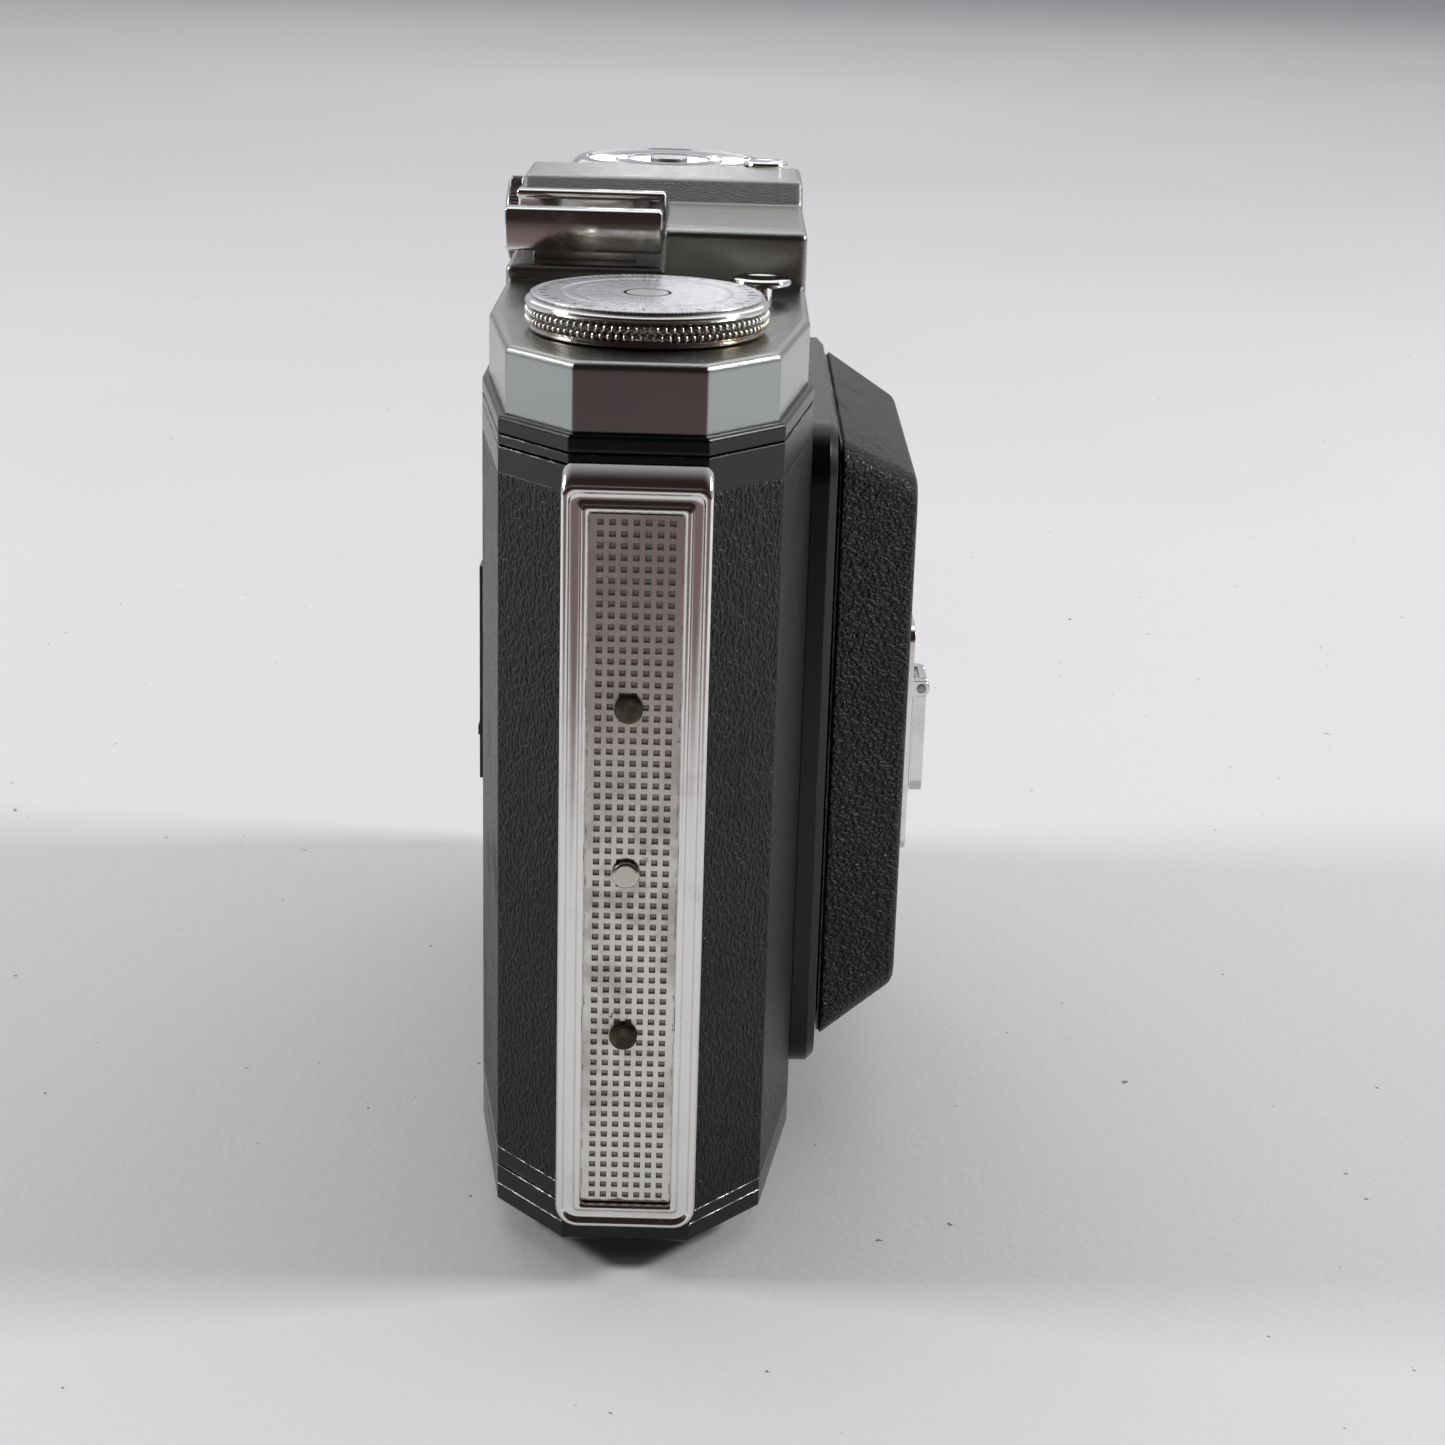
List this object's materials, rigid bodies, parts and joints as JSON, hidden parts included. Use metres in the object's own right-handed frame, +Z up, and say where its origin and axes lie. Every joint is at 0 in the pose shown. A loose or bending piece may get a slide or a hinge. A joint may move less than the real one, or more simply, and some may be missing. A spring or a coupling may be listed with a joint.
{
  "type": "folding rollfilm camera",
  "caption": "Folding rollfilm camera with a hinged bed and bellows, coupled rangefinder housing, winding and focusing knobs, accessory shoe and hinged back.",
  "frame": {"origin": "mouth of the tripod socket, in the base plane, midway along and across the body", "axes": "+X along the body from the winding end to the hinge end, -Y the way the lens looks, +Z up"},
  "size_m": [0.1305, 0.0534, 0.105],
  "materials": {
    "black_paint": "semi-gloss black enamel",
    "leather": "pebbled black leatherette",
    "bellows_leather": "matt folded leather",
    "satin_chrome": "satin",
    "bright_chrome": "polished",
    "nickel": "dimpled nickel, worn",
    "steel": "turned",
    "spool_paint": "black",
    "blade_steel": "blued",
    "glass": "clear",
    "mirror": "silvered",
    "red_glass": "ruby"
  },
  "bodies": {
    "body": {"body_casting": "black_paint", "base_plate": "black_paint", "base_screws": "steel", "tripod_bush": "steel", "front_leather_near": "leather", "front_leather_far": "leather", "bed_frame": "black_paint", "bed_hinge_pins": "steel", "back_hinge_pin": "steel", "spool_pegs": "steel", "top_deck": "black_paint", "top_cover": "satin_chrome", "finder_window": "glass", "range_window": "glass", "finder_objective": "glass", "beam_splitter": "glass", "range_mirror": "mirror", "eyepiece_ring": "bright_chrome", "eyepiece_lens": "glass", "accessory_shoe": "bright_chrome", "shoe_screws": "steel", "focus_scale": "satin_chrome", "shutter_spring": "steel", "bed_spring": "steel", "bed_button_collar": "bright_chrome", "bellows": "bellows_leather"},
    "back_door": {"back_door": "black_paint", "back_leather": "leather", "red_window": "red_glass", "window_track": "black_paint", "plate_springs": "steel"},
    "window_cover": {"window_cover": "black_paint"},
    "pressure_plate": {"pressure_plate": "black_paint"},
    "latch": {"latch_bar": "bright_chrome", "latch_panel": "nickel", "latch_slider": "steel", "latch_rivets": "nickel"},
    "bed": {"bed": "black_paint", "bed_leather": "leather", "foot_plate": "bright_chrome", "foot_pin": "steel"},
    "foot_leg": {"foot_leg": "bright_chrome"},
    "lens_standard": {"lens_standard": "black_paint"},
    "lens_unit": {"shutter_housing": "black_paint", "lens_mount": "bright_chrome", "front_lens": "glass", "rear_lens": "glass", "shutter_blades": "blade_steel"},
    "speed_ring": {"speed_ring": "satin_chrome"},
    "winder": {"wind_knob": "bright_chrome", "wind_knob_disc": "bright_chrome", "wind_shaft": "steel", "take_up_spool": "spool_paint"},
    "supply_spool": {"supply_spool": "spool_paint"},
    "film_roller_near": {"film_roller_near": "steel"},
    "film_roller_far": {"film_roller_far": "steel"},
    "focus_knob": {"focus_knob": "bright_chrome", "focus_shaft": "steel"},
    "shutter_button": {"shutter_button": "bright_chrome"},
    "bed_button": {"bed_button": "bright_chrome"}
  },
  "joints": [
    {"name": "back_door_hinge", "type": "hinge", "parent": "body", "child": "back_door", "pos_m": [0.064, 0.0078, 0.045], "axis": [0, 0, -1], "range_deg": [0, 120]},
    {"name": "window_cover_slide", "type": "slide", "parent": "back_door", "child": "window_cover", "axis": [0, 0, 1], "range_m": [0, 0.011]},
    {"name": "pressure_plate_slide", "type": "slide", "parent": "back_door", "child": "pressure_plate", "axis": [0, 1, 0], "range_m": [0, 0.0004], "stiffness_N_per_m": 2000, "springref_m": -0.0005},
    {"name": "latch_slide", "type": "slide", "parent": "body", "child": "latch", "axis": [0, 0, 1], "range_m": [0, 0.0025]},
    {"name": "bed_hinge", "type": "hinge", "parent": "body", "child": "bed", "pos_m": [0.0312, -0.0224, 0.045], "axis": [0, 0, 1], "range_deg": [0, 90]},
    {"name": "foot_hinge", "type": "hinge", "parent": "bed", "child": "foot_leg", "pos_m": [-0.018, -0.0323, 0.0506], "axis": [-1, 0, 0], "range_deg": [0, 90]},
    {"name": "standard_slide", "type": "slide", "parent": "body", "child": "lens_standard", "axis": [0, -1, 0], "range_m": [0, 0.036], "deforming": ["bellows"]},
    {"name": "focus_slide", "type": "slide", "parent": "lens_standard", "child": "lens_unit", "axis": [0, -1, 0], "range_m": [0, 0.0025]},
    {"name": "speed_ring_turn", "type": "hinge", "parent": "lens_unit", "child": "speed_ring", "pos_m": [0, -0.02, 0.045], "axis": [0, 1, 0], "range_deg": [0, 200]},
    {"name": "winding", "type": "hinge", "parent": "body", "child": "winder", "pos_m": [-0.0429, 0, 0.095], "axis": [0, 0, 1], "continuous": true},
    {"name": "supply_turn", "type": "hinge", "parent": "body", "child": "supply_spool", "pos_m": [0.0429, 0, 0.045], "axis": [0, 0, 1], "continuous": true},
    {"name": "roller_near_turn", "type": "hinge", "parent": "body", "child": "film_roller_near", "pos_m": [-0.0264, 0.007, 0.045], "axis": [0, 0, 1], "continuous": true},
    {"name": "roller_far_turn", "type": "hinge", "parent": "body", "child": "film_roller_far", "pos_m": [0.0264, 0.007, 0.045], "axis": [0, 0, 1], "continuous": true},
    {"name": "focusing", "type": "hinge", "parent": "body", "child": "focus_knob", "pos_m": [0.0431, 0, 0.095], "axis": [0, 0, 1], "range_deg": [0, 270]},
    {"name": "shutter_release", "type": "slide", "parent": "body", "child": "shutter_button", "axis": [0, 0, -1], "range_m": [0, 0.0015], "stiffness_N_per_m": 600, "springref_m": -0.001, "deforming": ["shutter_spring"]},
    {"name": "bed_release", "type": "slide", "parent": "body", "child": "bed_button", "axis": [0, 0, -1], "range_m": [0, 0.0015], "stiffness_N_per_m": 800, "springref_m": -0.001, "deforming": ["bed_spring"]}
  ],
  "couplings": [
    {"joint": "standard_slide", "follows": "bed_hinge", "m_per_rad": 0.022917},
    {"joint": "focus_slide", "follows": "focusing", "m_per_rad": 0.0005304}
  ]
}
